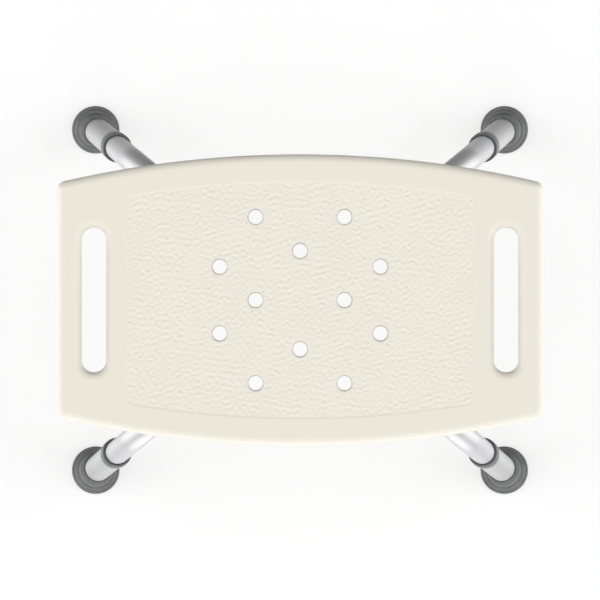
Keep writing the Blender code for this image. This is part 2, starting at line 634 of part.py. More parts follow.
def build_snap_button(corner, axis):
    """The button, its V spring and the plug in the end of the frame tube."""
    press_axis = bpy.data.objects.new("button_axis_" + corner, None)
    PARTS.objects.link(press_axis)
    press_axis.parent = axis
    press_axis.location = (0.0, 0.0, BUTTON_HEIGHT)
    press_axis.rotation_euler = (0.0, -math.pi / 2, 0.0)

    flange_top = BUTTON_FLANGE_INSIDE + BUTTON_FLANGE_THICKNESS
    profile = [(0.0, BUTTON_TIP), (BUTTON_RADIUS * 0.5, BUTTON_TIP - BUTTON_DOME * 0.2),
               (BUTTON_RADIUS * 0.85, BUTTON_TIP - BUTTON_DOME * 0.55),
               (BUTTON_RADIUS, BUTTON_TIP - BUTTON_DOME),
               (BUTTON_RADIUS, flange_top), (BUTTON_FLANGE_RADIUS, flange_top),
               (BUTTON_FLANGE_RADIUS, BUTTON_FLANGE_INSIDE), (0.0, BUTTON_FLANGE_INSIDE)]
    button = turned_mesh(profile, SMALL_SIDES)
    shade_round(button)
    add_object("snap_button_" + corner, button, PARTS, STEEL, press_axis)

    near = -(BUTTON_FLANGE_INSIDE - GAP - SPRING_THICKNESS)
    far = 0.0098
    low = BUTTON_HEIGHT - 0.007
    high = low + SPRING_LENGTH
    turn_radius = 0.0022
    path = [(near, low), (near, BUTTON_HEIGHT + 0.008)]
    path += arc((0.0, high - turn_radius), turn_radius, math.pi, 0.0, 6)
    path += [(far, BUTTON_HEIGHT + 0.012), (far, BUTTON_HEIGHT + 0.004)]
    strip = bpy.data.meshes.new("spring")
    half = SPRING_WIDTH / 2
    strip.from_pydata([(x, y, z) for x, z in path for y in (-half, half)], [],
                      [(2 * i, 2 * i + 1, 2 * i + 3, 2 * i + 2) for i in range(len(path) - 1)])
    spring = add_object("button_spring_" + corner, strip, PARTS, STEEL, axis)
    sheet = spring.modifiers.new("sheet", "SOLIDIFY")
    sheet.thickness = SPRING_THICKNESS
    sheet.offset = 0.0

    plug_top = FRAME_TUBE_START + PLUG_SHANK_LENGTH
    flange_top = FRAME_TUBE_START - GAP
    profile = [(0.0, plug_top), (PLUG_SHANK_RADIUS, plug_top), (PLUG_SHANK_RADIUS, flange_top),
               (PLUG_FLANGE_RADIUS, flange_top), (PLUG_FLANGE_RADIUS, flange_top - PLUG_FLANGE_THICKNESS),
               (0.0, flange_top - PLUG_FLANGE_THICKNESS)]
    plug = turned_mesh(profile, TUBE_SIDES)
    shade_round(plug)
    add_object("tube_plug_" + corner, plug, PARTS, GREY_PLASTIC, axis)


def build_leg(corner):
    axis = leg_axis(corner)
    build_leg_tube(corner, axis)
    build_collar(corner, axis)
    build_foot(corner, axis)
    build_snap_button(corner, axis)


clear_scene()
PARTS = new_collection("shower_stool")
CUTTERS = new_collection("cutters")

SEAT_PLASTIC = make_material("cream seat plastic", (0.82, 0.79, 0.70), 0.45)
ALUMINIUM = make_material("satin anodised aluminium", (0.72, 0.72, 0.72), 0.35, 1.0)
GREY_PLASTIC = make_material("grey moulded plastic", (0.16, 0.16, 0.16), 0.5)
RUBBER = make_material("grey rubber", (0.13, 0.13, 0.13), 0.75)
STEEL = make_material("zinc plated steel", (0.66, 0.67, 0.68), 0.3, 1.0)
BRASS = make_material("brass", (0.78, 0.60, 0.30), 0.3, 1.0)

build_seat()
for tube_level in TUBE_AZIMUTH:
    build_cross_tube(tube_level)
build_centre_fastener()
for corner_name in CORNERS:
    build_saddle(corner_name)
    build_leg(corner_name)
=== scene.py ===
"""Looks of the shower stool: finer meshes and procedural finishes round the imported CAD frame.

Units are metres, in the frame of the CAD part. +Z is up, +X runs along the long side of the seat
and -Y is its front. The origin is on the floor under the middle of the seat.
"""

import json
import math

import bmesh
import bpy
import numpy as np
from mathutils import Matrix, Vector
from mathutils.geometry import delaunay_2d_cdt


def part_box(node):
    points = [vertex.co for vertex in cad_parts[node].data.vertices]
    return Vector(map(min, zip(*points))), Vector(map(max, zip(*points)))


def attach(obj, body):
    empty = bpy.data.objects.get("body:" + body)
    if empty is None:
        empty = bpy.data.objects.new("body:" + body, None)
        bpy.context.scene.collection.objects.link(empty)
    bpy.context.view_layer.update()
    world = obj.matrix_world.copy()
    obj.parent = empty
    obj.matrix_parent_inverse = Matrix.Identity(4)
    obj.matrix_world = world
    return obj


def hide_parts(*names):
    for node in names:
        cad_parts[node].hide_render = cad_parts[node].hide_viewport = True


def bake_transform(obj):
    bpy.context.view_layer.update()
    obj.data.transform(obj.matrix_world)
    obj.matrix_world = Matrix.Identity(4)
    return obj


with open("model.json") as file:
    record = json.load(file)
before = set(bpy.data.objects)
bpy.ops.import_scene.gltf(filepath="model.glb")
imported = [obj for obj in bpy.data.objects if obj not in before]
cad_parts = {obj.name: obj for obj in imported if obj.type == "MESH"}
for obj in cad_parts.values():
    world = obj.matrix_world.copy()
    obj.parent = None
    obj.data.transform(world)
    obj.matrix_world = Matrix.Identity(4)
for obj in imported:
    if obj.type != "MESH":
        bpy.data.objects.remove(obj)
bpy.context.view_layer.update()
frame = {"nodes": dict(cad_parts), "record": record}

# ----- Sizes of the CAD part -----

SEAT_LOW, SEAT_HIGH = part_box("seat")
SEAT_TOP = SEAT_HIGH.z
SEAT_UNDERSIDE = SEAT_LOW.z
SEAT_HALF_WIDTH = SEAT_HIGH.x
SEAT_HALF_DEPTH = SEAT_HIGH.y
SEAT_SIDE_RADIUS = 1.071
SEAT_CORNER_RADIUS = 0.0095
SEAT_EDGE_FILLET = 0.008

PANEL_INSET = 0.028
PANEL_HALF_WIDTH = 0.177
PANEL_CORNER_RADIUS = 0.007
PANEL_RECESS = 0.0005

SLOT_X = 0.209
SLOT_HALF_WIDTH = 0.0127
SLOT_HALF_LENGTH = 0.0738
SLOT_FILLET = 0.0075

DRAIN_RADIUS = 0.0081
DRAIN_FILLET = 0.0016
DRAIN_TOP_FILLET = 0.0011
DRAIN_WAIST = 0.0008  # how much narrower a drain hole is halfway down
DRAIN_CENTRES = [(sx * 0.0452, sy * 0.0845) for sx in (-1, 1) for sy in (-1, 1)]
DRAIN_CENTRES += [(sx * 0.0818, sy * 0.0339) for sx in (-1, 1) for sy in (-1, 1)]
DRAIN_CENTRES += [(0.0, -0.050), (0.0, 0.050), (-0.0452, 0.0), (0.0452, 0.0)]

TACK_RADIUS = 0.0055
TACK_TIP_RADIUS = 0.0035
TACK_TIP_ROUNDING = 0.0016
TACK_RIM = 0.0012
TACK_DEPTH = 0.014
TACK_CENTRES = [(sx * 0.155, sy * 0.055) for sx in (-1, 1) for sy in (-1, 1)]
TACK_CENTRES += [(-0.130, 0.0), (0.130, 0.0), (0.0, -0.105), (0.0, 0.105)]

VENT_RADIUS = 0.004
VENT_CENTRE = (-0.075, 0.0)
VENT_DEPTH = 0.006
INSERT_BORE_RADIUS = 0.0048
INSERT_BORE_DEPTH = 0.0145
BORE_RIM = 0.0006
BORE_DRAFT = 0.00002

TUBE_RADIUS = 0.0127
TUBE_WALL = 0.0012
BEND_RADIUS = 0.050
JOGGLE_RADIUS = 0.045
JOGGLE_FLAT = 0.008
CLEARANCE = 0.0003
SADDLE_CROWN = 0.005
FRAME_HEIGHT = SEAT_UNDERSIDE - SADDLE_CROWN - TUBE_RADIUS
JOGGLE_DROP = 2 * TUBE_RADIUS + CLEARANCE
JOGGLE_HEIGHT = FRAME_HEIGHT - JOGGLE_DROP

LEG_TUBE_RADIUS = 0.0143
LEG_TUBE_WALL = 0.0011
LEG_TUBE_START = 0.0143
LEG_TUBE_TOP = 0.2085
FRAME_TUBE_START = 0.035
LEG_HOLE_START = 0.055
LEG_HOLE_PITCH = 0.020
LEG_HOLE_COUNT = 7
LEG_HOLE_RADIUS = 0.0043

COLLAR_RADIUS = 0.0158
COLLAR_LENGTH = 0.020
COLLAR_LIP = 0.002
GUIDE_RADIUS = TUBE_RADIUS + 0.0004  # inside of the parts round a frame tube

FOOT_RADIUS = 0.0264
FOOT_HEIGHT = 0.0338
FOOT_NECK_RADIUS = 0.0164
FOOT_BEND_HEIGHT = 0.016
FOOT_BORE_FLOOR = 0.0132
TREAD_DEPTH = 0.0018
TREAD_DRAFT = 0.0004

BUTTON_RADIUS = 0.004
BUTTON_TIP = 0.0170
BUTTON_BASE = 0.0086
BUTTON_DOME = 0.0022
FLANGE_RADIUS = 0.0052
FLANGE_TOP = BUTTON_BASE + 0.0010

SPRING_THICKNESS = 0.0005
SPRING_WIDTH = 0.007
SPRING_FAR = 0.0098  # the leaf that leans on the wall opposite the button
SPRING_FOLD_RADIUS = 0.0022
SPRING_TOP = 0.035  # the fold's height above the button's axis
SPRING_NEAR = -(BUTTON_BASE - CLEARANCE - SPRING_THICKNESS)  # the leaf under the button

SADDLE_RADIUS = 0.150
SADDLE_LENGTH = 0.040
SADDLE_WIDTH = 0.023
SADDLE_FLANK = 0.0010  # height of the straight edge beside the bed
SADDLE_ROUNDING = 0.0009

SCREW_RADIUS = 0.0025
SCREW_HEAD_RADIUS = 0.0055
SCREW_HEAD_HEIGHT = 0.0032
SCREW_REACH = 0.0125
SCREW_PITCH = 0.0008
SCREW_THREAD = 0.0004  # depth of the thread
RECESS_HALF_LENGTH = 0.0030
RECESS_HALF_WIDTH = 0.0006
RECESS_DEPTH = 0.0018

BOLT_RADIUS = 0.003
BOLT_HEAD_RADIUS = 0.007
BOLT_HEAD_HEIGHT = 0.0036
BOLT_END = 0.003
BOLT_PITCH = 0.001
BOLT_THREAD = 0.0005
WASHER_RADIUS = 0.0085
WASHER_THICKNESS = 0.0015
NUT_ACROSS_CORNERS = 0.0115
NUT_HEIGHT = 0.005
NUT_CROWN = 1.01  # radius of the chamfer's top, in half widths of the nut
NUT_CHAMFER = 30  # degrees

CORNERS = ("front_left", "front_right", "back_left", "back_right")
TUBE_ROOT = {"upper": "back_right", "lower": "front_right"}  # the corner at each tube's +X end

# ----- Sizes of the finish -----

SLOT_DRAFT = 0.0008  # taper of the mould on each half of a hand slot
SLOT_SHIFT = 0.0008  # how much further out the slots are than in the CAD
SLOT_SHADE_REACH = (0.0075, 0.0016)  # width of the band of painted shade on a slot's inner and outer side
SLOT_SHADE_ENDS = (0.5, 1.5)  # where the band starts at a slot's ends, in half widths
SLOT_SHADE_FALLOFF = 1.5
SEAT_DRAFT = 0.0004  # taper of the mould on each half of the seat's side
PARTING_RIDGE = 0.00015  # flash line round the middle of the seat's side
PARTING_DIP = 0.00005  # how far the side dips in beside that line
PARTING_HEIGHTS = (0.0007, 0.00025)  # of the dip and the line, from the middle
FLASH_RIDGE = 0.0002  # the same line inside a hand slot
FLASH_HEIGHTS = (0.0009, 0.0004)
PANEL_STEP = 0.0016  # width of the step down into the panel
GRAIN_SPACING = 0.00111  # mesh spacing in the crinkled panel
GRAIN_HEIGHT = 0.00013
GRAIN_WAVELENGTHS = (0.0035, 0.0072)
GRAIN_WAVES = 120  # how many waves are added up
GRAIN_GAIN = 0.58  # height of the crinkles before it is limited
GRAIN_LIMITS = (-1.5, 1.0)
GRAIN_SEED = 11
PATCH_WAVELENGTHS = (0.010, 0.022)  # spacing of the places where the grain is deeper
PATCH_WAVES = 40
PATCH_GAIN = 0.28
PATCH_LIMITS = (0.3, 2.0)
PATCH_SEED = 12
GRAIN_MARGIN = 0.0002  # smooth plastic between the step and the grain
GRAIN_FADE = 0.0015  # width over which the grain starts
DRAIN_FADE = (0.0001, 0.0020)  # where it starts round a drain hole's rounded edge
GRAIN_SPREAD = 0.55  # how much a crinkle's direction varies about X, in radians
GRAIN_PAINTED_SHADE = 0.26  # how much of the tone follows the grain's height: painted shade in its valleys, lighter on its crests
PANEL_TONE = 0.586
PLAIN_TONE = 0.549  # tone of the smooth plastic
FLAT_GUARD = 0.001  # width of the flat ring inside the edges of a face
TOP_SPACING = 0.006  # mesh spacing of the smooth top
UNDERSIDE_SPACING = 0.005
GRID_GAP = 0.6  # room between the mesh grid and an edge, in spacings
GRID_TOLERANCE = 1e-7
WELD = 2e-6
SHARP_ANGLE = 40  # edges sharper than this are shaded as edges, in degrees
ROUNDING_SHARE = 0.48  # the most of a line that one rounded corner takes
NOISE_LOW, NOISE_HIGH = 0.3, 0.7  # between these are most values of a noise

# ----- Small helpers -----


def arc(centre, radius, start, end, steps):
    """Points along an arc, both ends included, angles in degrees."""
    angles = np.radians(np.linspace(start, end, steps + 1))
    return [(centre[0] + radius * math.cos(a), centre[1] + radius * math.sin(a)) for a in angles]


def softened(corners, steps=4):
    """A polyline through (x, y, rounding) corners, such as a profile's radii and heights."""
    points = []
    for index, (x, y, rounding) in enumerate(corners):
        here = Vector((x, y))
        if rounding <= 0 or index in (0, len(corners) - 1):
            points.append((x, y))
            continue
        back = Vector(corners[index - 1][:2]) - here
        ahead = Vector(corners[index + 1][:2]) - here
        turn = math.pi - back.angle(ahead)
        room = ROUNDING_SHARE * min(back.length, ahead.length)
        reach = min(rounding * math.tan(turn / 2), room)
        first = here + back.normalized() * reach
        last = here + ahead.normalized() * reach
        for step in range(steps + 1):
            t = step / steps
            point = first * (1 - t) ** 2 + here * (2 * t * (1 - t)) + last * t ** 2
            points.append((point.x, point.y))
    return points


def loft(rings):
    """Quads between successive closed rings of equally many points, as (points, faces)."""
    count = len(rings[0])
    points = [tuple(point) for ring in rings for point in ring]
    faces = []
    for level in range(len(rings) - 1):
        base = level * count
        for i in range(count):
            j = (i + 1) % count
            faces.append((base + i, base + j, base + count + j, base + count + i))
    return points, faces


def gathered(shapes):
    """Several (points, faces) shapes as one."""
    points, faces = [], []
    for shape_points, shape_faces in shapes:
        offset = len(points)
        points.extend(shape_points)
        faces.extend(tuple(index + offset for index in face) for face in shape_faces)
    return points, faces


def turned(profile, sides):
    """A (radius, height) profile turned about Z."""
    turn = np.arange(sides) * math.tau / sides
    return loft([[(r * math.cos(a), r * math.sin(a), z) for a in turn] for r, z in profile])


def solid_mesh(name, shape, sharp_angle=SHARP_ANGLE, grain=None):
    """A welded, smooth-shaded mesh of a closed shape, facing outwards."""
    points, faces = shape
    mesh = bpy.data.meshes.new(name)
    mesh.from_pydata(points, [], faces)
    if grain is not None:
        layer = mesh.attributes.new("grain", "FLOAT_VECTOR", "POINT")
        layer.data.foreach_set("vector", np.asarray(grain, dtype=np.float32).ravel())
    welded = bmesh.new()
    welded.from_mesh(mesh)
    bmesh.ops.remove_doubles(welded, verts=welded.verts, dist=WELD)
    bmesh.ops.recalc_face_normals(welded, faces=welded.faces)
    welded.to_mesh(mesh)
    welded.free()
    mesh.shade_smooth()
    mesh.set_sharp_from_angle(angle=math.radians(sharp_angle))
    return mesh


def linked(name, data):
    """A new object in the scene."""
    item = bpy.data.objects.new(name, data)
    bpy.context.scene.collection.objects.link(item)
    return item


def place(name, mesh, material, matrix=Matrix.Identity(4)):
    """A new object at the origin, whose mesh is moved to its place in the CAD's frame."""
    mesh.transform(matrix)
    mesh.materials.clear()
    mesh.materials.append(material)
    return linked(name, mesh)


def fit(body, node, name, mesh, material, matrix=Matrix.Identity(4)):
    """A piece that stands for a CAD node, which it hides, moves with a body and gets the given
    material.
    """
    piece = place(name, mesh, material, matrix)
    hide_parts(node)
    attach(piece, body)


def drilled(mesh, cutter_shape):
    """The mesh less a closed shape."""
    body = linked("body", mesh)
    drill = linked("drill", solid_mesh("drill", cutter_shape))
    boolean = body.modifiers.new("drill", "BOOLEAN")
    boolean.operation = "DIFFERENCE"
    boolean.solver = "EXACT"
    boolean.object = drill
    graph = bpy.context.evaluated_depsgraph_get()
    result = bpy.data.meshes.new_from_object(body.evaluated_get(graph))
    for item in (body, drill):
        bpy.data.objects.remove(item, do_unlink=True)
    result.shade_smooth()
    result.set_sharp_from_angle(angle=math.radians(SHARP_ANGLE))
    return result


def set_grain(mesh):
    """Stores a straight piece's own coordinates as its grain, with Z along the metal."""
    places = np.zeros(len(mesh.vertices) * 3, dtype=np.float32)
    mesh.vertices.foreach_get("co", places)
    layer = mesh.attributes.new("grain", "FLOAT_VECTOR", "POINT")
    layer.data.foreach_set("vector", places)


def plane_waves(x, y, wavelengths, count, seed, spread):
    """Random waves with a standard deviation of one, whose crests turn from X by about spread."""
    random = np.random.default_rng(seed)
    headings = math.pi / 2 + random.normal(0, spread, count)
    wave_numbers = math.tau / random.uniform(*wavelengths, count)
    phases = random.uniform(0, math.tau, count)
    total = np.zeros_like(x)
    for heading, wave_number, phase in zip(headings, wave_numbers, phases):
        along = x * math.cos(heading) + y * math.sin(heading)
        total += np.cos(wave_number * along + phase)
    return total * math.sqrt(2 / count)


def smooth_step(value, low, high):
    t = np.clip((value - low) / (high - low), 0, 1)
    return t * t * (3 - 2 * t)


# ----- Materials -----

def add_node(tree, kind, output, inputs, **settings):
    """Adds a shader node with the given inputs linked or set, and returns one of its outputs."""
    node = tree.nodes.new("ShaderNode" + kind)
    for name, value in settings.items():
        setattr(node, name, value)
    for name, value in inputs.items():
        if isinstance(value, bpy.types.NodeSocket):
            tree.links.new(value, node.inputs[name])
        else:
            node.inputs[name].default_value = value
    return node.outputs[output]


class Finish:
    """A Principled material whose colour, roughness and relief come from noise in real sizes."""

    def __init__(self, name, metallic=0.0, specular=0.5, grain=False):
        self.material = bpy.data.materials.new(name)
        self.material.use_nodes = True
        self.tree = self.material.node_tree
        self.shader = self.tree.nodes["Principled BSDF"]
        self.shader.inputs["Metallic"].default_value = metallic
        self.shader.inputs["Specular IOR Level"].default_value = specular
        if grain:
            self.coordinates = self.node("Attribute", "Vector", {}, attribute_name="grain")
        else:
            self.coordinates = self.node("TexCoord", "Object", {})
        self.normal = None

    def node(self, *arguments, **settings):
        return add_node(self.tree, *arguments, **settings)

    def noise(self, size, detail=2.0, stretch=(1, 1, 1)):
        """Noise whose features are about size metres across, longer where stretch is above one."""
        mapped = self.node("Mapping", "Vector", {"Vector": self.coordinates,
                                                 "Scale": [1 / factor for factor in stretch]})
        return self.node("TexNoise", "Fac", {"Vector": mapped, "Scale": 1 / size, "Detail": detail})

    def ranged(self, value, low, high, start=NOISE_LOW, end=NOISE_HIGH):
        return self.node("MapRange", "Result", {"Value": value, "From Min": start, "From Max": end,
                                                "To Min": low, "To Max": high})

    def mixed(self, first, second, share):
        """Two noises added, the second weighted by share."""
        return self.node("Math", "Value", {0: second, 1: share, 2: first}, operation="MULTIPLY_ADD")

    def colour(self, first, second, value, start=NOISE_LOW, end=NOISE_HIGH):
        mix = self.node("Mix", "Result", {"Factor": self.ranged(value, 0, 1, start, end),
                                          "A": (*first, 1), "B": (*second, 1)}, data_type="RGBA")
        self.tree.links.new(mix, self.shader.inputs["Base Color"])

    def roughness(self, value, low, high):
        self.tree.links.new(self.ranged(value, low, high), self.shader.inputs["Roughness"])

    def relief(self, value, height):
        """Bump whose noise stands for height metres from its lowest to its highest."""
        inputs = {"Height": value, "Distance": height}
        if self.normal is not None:
            inputs["Normal"] = self.normal
        self.normal = self.node("Bump", "Normal", inputs)
        self.tree.links.new(self.normal, self.shader.inputs["Normal"])


def seat_plastic():
    """Cream plastic, with painted shade in the valleys of its moulded grain and on the hand slots'
    long sides.
    """
    finish = Finish("cream seat plastic")
    cloud = finish.mixed(finish.noise(0.060), finish.noise(0.0030, detail=4.0), share=0.25)
    # the stored tone holds painted shade in the grain's valleys and on the slots' long sides
    stored = finish.node("Attribute", "Fac", {}, attribute_name="tone_and_painted_shade")
    tone = finish.mixed(stored, cloud, share=0.08)
    finish.colour((0.610, 0.578, 0.498), (0.786, 0.755, 0.671), tone, start=0.0, end=1.0)
    finish.roughness(finish.noise(0.0040, detail=5.0), low=0.40, high=0.52)
    return finish.material


def aluminium(name, colour, roughness, metallic):
    """Satin aluminium with faint lines along the direction in which it was drawn."""
    finish = Finish(name, metallic=metallic, grain=True)
    drawn = finish.noise(0.0005, detail=3.0, stretch=(1, 1, 60))
    cloud = finish.noise(0.012, detail=3.0, stretch=(1, 1, 4))
    darker = tuple(channel * 0.95 for channel in colour)
    finish.colour(darker, colour, finish.mixed(cloud, drawn, share=0.4), start=0.5, end=0.9)
    finish.roughness(finish.mixed(cloud, drawn, share=0.6), low=roughness - 0.05,
                     high=roughness + 0.06)
    finish.relief(drawn, height=0.000005)
    finish.relief(finish.noise(0.0002, detail=1.0), height=0.000002)
    return finish.material


def grey_plastic():
    finish = Finish("grey moulded plastic")
    cloud = finish.mixed(finish.noise(0.010), finish.noise(0.0008, detail=3.0), share=0.4)
    finish.colour((0.098, 0.100, 0.102), (0.122, 0.124, 0.126), cloud, start=0.5, end=0.85)
    finish.roughness(finish.noise(0.0030, detail=4.0), low=0.38, high=0.50)
    finish.relief(finish.noise(0.0005, detail=2.0), height=0.000012)
    return finish.material


def rubber():
    finish = Finish("grey rubber", specular=0.4)
    cloud = finish.mixed(finish.noise(0.014, detail=3.0), finish.noise(0.0012, detail=4.0),
                         share=0.5)
    finish.colour((0.118, 0.119, 0.121), (0.150, 0.151, 0.152), cloud, start=0.55, end=0.95)
    finish.roughness(finish.noise(0.0060, detail=4.0), low=0.62, high=0.78)
    finish.relief(finish.noise(0.0009, detail=3.0), height=0.000030)
    finish.relief(finish.noise(0.0003, detail=1.0), height=0.000010)
    return finish.material


def bright_metal(name, dark, light, coarse, fine, roughness):
    """A smooth metal surface, clouded by two noises of the given sizes."""
    finish = Finish(name, metallic=1.0)
    cloud = finish.mixed(finish.noise(coarse, detail=3.0), finish.noise(fine, detail=4.0),
                         share=0.5)
    finish.colour(dark, light, cloud, start=0.5, end=0.95)
    finish.roughness(cloud, *roughness)
    return finish


def plated_steel():
    finish = bright_metal("zinc plated steel", (0.55, 0.57, 0.60), (0.70, 0.71, 0.73),
                          coarse=0.0030, fine=0.0005, roughness=(0.24, 0.42))
    finish.relief(finish.noise(0.0004, detail=2.0), height=0.000006)
    return finish.material


def brass():
    finish = bright_metal("turned brass", (0.66, 0.47, 0.20), (0.80, 0.62, 0.32),
                          coarse=0.0040, fine=0.0006, roughness=(0.22, 0.40))
    finish.relief(finish.noise(0.0003, detail=1.0, stretch=(6, 6, 1)), height=0.000006)
    return finish.material


SEAT_PLASTIC = seat_plastic()
FRAME_ALUMINIUM = aluminium("satin anodised tube", (0.58, 0.58, 0.59),
                            roughness=0.36, metallic=0.5)
LEG_ALUMINIUM = aluminium("satin anodised leg", (0.500, 0.500, 0.505),
                          roughness=0.38, metallic=0.42)
GREY_PLASTIC = grey_plastic()
RUBBER = rubber()
STEEL = plated_steel()
BRASS = brass()


# ----- Seat -----

def bowed_outline(half_width, half_depth, side_radius, corner_radius, end_steps, corner_steps,
                  side_steps):
    """Straight ends in X, bowed long sides in Y and rounded corners, anticlockwise."""
    side_centre = half_depth - side_radius
    reach = side_radius - corner_radius
    corner_x = half_width - corner_radius
    corner_y = side_centre + math.sqrt(reach ** 2 - corner_x ** 2)
    meeting = math.degrees(math.atan2(corner_y - side_centre, corner_x))
    quarter = [(half_width, corner_y * i / end_steps) for i in range(end_steps)]
    quarter += arc((corner_x, corner_y), corner_radius, 0, meeting, corner_steps)
    quarter += arc((0.0, side_centre), side_radius, meeting, 90, side_steps)[1:]
    half = quarter + [(-x, y) for x, y in reversed(quarter[:-1])]
    return half + [(-x, -y) for x, y in half[1:-1]]


def seat_outline(outset):
    return bowed_outline(SEAT_HALF_WIDTH + outset, SEAT_HALF_DEPTH + outset,
                         SEAT_SIDE_RADIUS + outset, SEAT_CORNER_RADIUS + outset,
                         end_steps=4, corner_steps=9, side_steps=26)


def panel_outline(outset):
    return bowed_outline(PANEL_HALF_WIDTH + outset, SEAT_HALF_DEPTH - PANEL_INSET + outset,
                         SEAT_SIDE_RADIUS - PANEL_INSET + outset, PANEL_CORNER_RADIUS + outset,
                         end_steps=16, corner_steps=6, side_steps=34)


def slot_outline(side):
    def outline(outset):
        width = SLOT_HALF_WIDTH + outset
        straight = SLOT_HALF_LENGTH - SLOT_HALF_WIDTH
        side_steps, end_steps = 10, 24
        up = [(width, -straight + 2 * straight * i / side_steps) for i in range(side_steps)]
        half = up + arc((0.0, straight), width, 0, 180, end_steps)[:-1]
        loop = half + [(-x, -y) for x, y in half]
        return [(x + side * (SLOT_X + SLOT_SHIFT), y) for x, y in loop]
    return outline


def round_outline(centre, radius, sides):
    def outline(outset):
        return arc(centre, radius + outset, 0, 360 * (sides - 1) / sides, sides - 1)
    return outline


def banded(outline, profile):
    """A band that follows an outline, through (outset, height) levels."""
    return loft([[(x, y, height) for x, y in outline(outset)] for outset, height in profile])


def rim(fillet, height, down, steps, wall=0.0):
    """A rounded rim's (outset, height) levels, from the flat face round to the wall of a hole."""
    return [(wall + fillet * (1 - math.sin(a)), height - down * fillet * (1 - math.cos(a)))
            for a in np.linspace(0, math.pi / 2, steps + 1)]


def inside(points, outline):
    """Which points are inside a closed outline, by crossings."""
    x, y = points[:, 0], points[:, 1]
    result = np.zeros(len(points), dtype=bool)
    loop = np.asarray(outline)
    for (x0, y0), (x1, y1) in zip(loop, np.roll(loop, -1, axis=0)):
        if y0 == y1:
            continue
        crosses = (y0 > y) != (y1 > y)
        result ^= crosses & (x < (x1 - x0) * (y - y0) / (y1 - y0) + x0)
    return result


def filled(outer, holes, guard, spacing, height_at):
    """A face filled with even triangles inside outer(0) and outside each hole(0).

    Unless guard is 0, the face has a ring that far from each outline, which holds it flat there.
    """
    loops = [outer(0.0)] + [hole(0.0) for hole in holes]
    if guard:
        loops += [outer(-guard)] + [hole(guard) for hole in holes]
    bound = np.asarray(loops[0])
    xs = np.arange(bound[:, 0].min(), bound[:, 0].max(), spacing)
    ys = np.arange(bound[:, 1].min(), bound[:, 1].max(), spacing * math.sqrt(3) / 2)
    grid_x, grid_y = np.meshgrid(xs, ys)
    grid_x[1::2] += spacing / 2
    grid = np.column_stack([grid_x.ravel(), grid_y.ravel()])
    margin = guard + spacing * GRID_GAP
    grid = grid[inside(grid, outer(-margin))]
    for hole in holes:
        grid = grid[~inside(grid, hole(margin))]

    points = [Vector(point) for point in grid]
    edges = []
    for loop in loops:
        first = len(points)
        points += [Vector(point) for point in loop]
        edges += [(first + i, first + (i + 1) % len(loop)) for i in range(len(loop))]
    flat, _, triangles, *_ = delaunay_2d_cdt(points, edges, [], 0, GRID_TOLERANCE)
    flat = np.array([tuple(point) for point in flat])
    triangles = np.array(triangles)
    centres = flat[triangles].mean(axis=1)
    kept = inside(centres, loops[0])
    for hole in holes:
        kept &= ~inside(centres, hole(0.0))
    heights = height_at(flat[:, 0], flat[:, 1])
    faces = [tuple(triangle) for triangle in triangles[kept]]
    return [(*point, height) for point, height in zip(flat, heights)], faces


def panel_grain(x, y):
    """The height of the panel's crinkled grain within GRAIN_LIMITS, and 0 along its edges."""
    noise = plane_waves(x, y, GRAIN_WAVELENGTHS, GRAIN_WAVES, GRAIN_SEED, GRAIN_SPREAD)
    patches = plane_waves(x, y, PATCH_WAVELENGTHS, PATCH_WAVES, PATCH_SEED, math.pi)
    depth = np.clip(1 + PATCH_GAIN * patches, *PATCH_LIMITS)
    crinkles = np.clip(GRAIN_GAIN * noise * depth, *GRAIN_LIMITS)
    radius = SEAT_SIDE_RADIUS - PANEL_INSET
    side = radius - np.hypot(x, np.abs(y) + radius - (SEAT_HALF_DEPTH - PANEL_INSET))
    end = PANEL_HALF_WIDTH - np.abs(x)
    corner = PANEL_CORNER_RADIUS - np.hypot(np.maximum(PANEL_CORNER_RADIUS - end, 0),
                                            np.maximum(PANEL_CORNER_RADIUS - side, 0))
    start = PANEL_STEP / 2 + GRAIN_MARGIN
    fade = smooth_step(np.minimum(np.minimum(end, side), corner), start, start + GRAIN_FADE)
    for cx, cy in DRAIN_CENTRES:
        beyond = np.hypot(x - cx, y - cy) - DRAIN_RADIUS - DRAIN_TOP_FILLET
        fade *= smooth_step(beyond, *DRAIN_FADE)
    return crinkles * fade


def panel_height(x, y):
    return SEAT_TOP - PANEL_RECESS + GRAIN_HEIGHT * panel_grain(x, y)


def slot_painted_shade(x, y):
    """How much painted shade darkens the long sides of the slots, from 0 to 1."""
    across = np.abs(x) - SLOT_X - SLOT_SHIFT
    reach = np.where(across < 0, *SLOT_SHADE_REACH)
    beyond = np.clip(np.abs(across) - SLOT_HALF_WIDTH - SLOT_DRAFT / 2, 0, None)
    along = smooth_step(SLOT_HALF_LENGTH - np.abs(y), *(SLOT_HALF_WIDTH * end for end in SLOT_SHADE_ENDS))
    return along * np.clip(1 - beyond / reach, 0, 1) ** SLOT_SHADE_FALLOFF


def store_grain(mesh):
    """Stores the seat's tone with its mesh: the grain's height as painted shade in its valleys, and
    painted shade on the slots' long sides.
    """
    places = np.zeros(len(mesh.vertices) * 3)
    mesh.vertices.foreach_get("co", places)
    x, y, z = places.reshape(-1, 3).T
    upper = z > SEAT_TOP - PANEL_RECESS - 2 * GRAIN_HEIGHT
    panel = upper & inside(np.column_stack([x, y]), panel_outline(0.0))
    layer = mesh.attributes.new("tone_and_painted_shade", "FLOAT", "POINT")
    # painted shade on the slots' long sides, where their walls and fillets fall into shade
    plain = PLAIN_TONE * (1 - slot_painted_shade(x, y))
    # painted shade in the grain's valleys, lighter on its crests
    tone = np.where(panel, PANEL_TONE + GRAIN_PAINTED_SHADE * panel_grain(x, y), plain)
    layer.data.foreach_set("value", tone)


def level(height):
    return lambda x, y: np.full_like(x, height)


def widened(outline, outset):
    """The same outline, measured from outset metres further out."""
    return lambda extra: outline(outset + extra)


